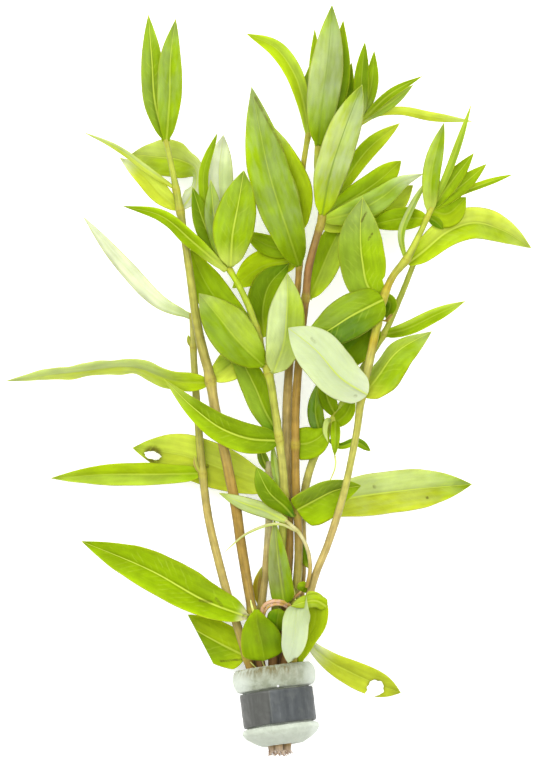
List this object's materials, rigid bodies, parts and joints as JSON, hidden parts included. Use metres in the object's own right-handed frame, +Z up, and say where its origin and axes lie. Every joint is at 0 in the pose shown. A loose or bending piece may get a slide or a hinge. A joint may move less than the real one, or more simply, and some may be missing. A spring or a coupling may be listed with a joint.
{
  "type": "bunch of nesaea stem plants",
  "caption": "Bunch of cut nesaea stems with narrow green leaves, held at the base by a foam wrap and a wound lead strip, lying on its side.",
  "frame": {"origin": "middle of the flattened underside of the lead strip, on the surface that the bunch lies on", "axes": "+Y from the cut stem ends to the leaf tips, +X to the right seen from above with the tips away, +Z up off the surface"},
  "size_m": [0.1589, 0.2242, 0.0408],
  "materials": {
    "foam": "matte",
    "lead": "matte",
    "brown_stem": "satin",
    "green_stem": "satin",
    "green_leaf": "satin",
    "dark_leaf": "satin",
    "pale_leaf": "satin"
  },
  "bodies": {
    "root": {"foam_wrap": "foam", "lead_strip": "lead", "stem_a": "brown_stem", "stem_b": "brown_stem", "stem_c": "brown_stem", "stem_d": "green_stem", "stem_e": "brown_stem", "stem_f": "brown_stem", "stem_g": "brown_stem", "stem_h": "brown_stem", "stem_i": "green_stem", "side_shoot": "green_stem", "leaf_base": "green_leaf", "leaf_a1": "green_leaf", "leaf_a2": "green_leaf", "leaf_a3": "pale_leaf", "leaf_b1": "green_leaf", "leaf_b2": "green_leaf", "leaf_b3": "dark_leaf", "leaf_b4": "green_leaf", "leaf_b5": "green_leaf", "leaf_b6": "green_leaf", "leaf_b7": "green_leaf", "leaf_c1": "green_leaf", "leaf_d1": "green_leaf", "leaf_d2": "dark_leaf", "leaf_d3": "green_leaf", "leaf_d4": "pale_leaf", "leaf_d5": "dark_leaf", "leaf_d6": "dark_leaf", "leaf_d7": "green_leaf", "leaf_d8": "green_leaf", "leaf_d9": "pale_leaf", "leaf_e1": "green_leaf", "leaf_e2": "green_leaf", "leaf_e3": "green_leaf", "leaf_e4": "green_leaf", "leaf_f1": "green_leaf", "leaf_f2": "dark_leaf", "leaf_f3": "green_leaf", "leaf_f4": "green_leaf", "leaf_f5": "dark_leaf", "leaf_f6": "green_leaf", "leaf_f7": "green_leaf", "leaf_f8": "green_leaf", "leaf_f9": "green_leaf", "leaf_f10": "green_leaf", "leaf_g1": "green_leaf", "leaf_g2": "green_leaf", "leaf_h1": "green_leaf", "leaf_h2": "green_leaf", "leaf_h3": "pale_leaf", "leaf_h4": "green_leaf", "leaf_h5": "green_leaf", "leaf_h6": "green_leaf", "leaf_h7": "dark_leaf", "leaf_h8": "green_leaf", "leaf_h9": "dark_leaf"}
  },
  "joints": []
}
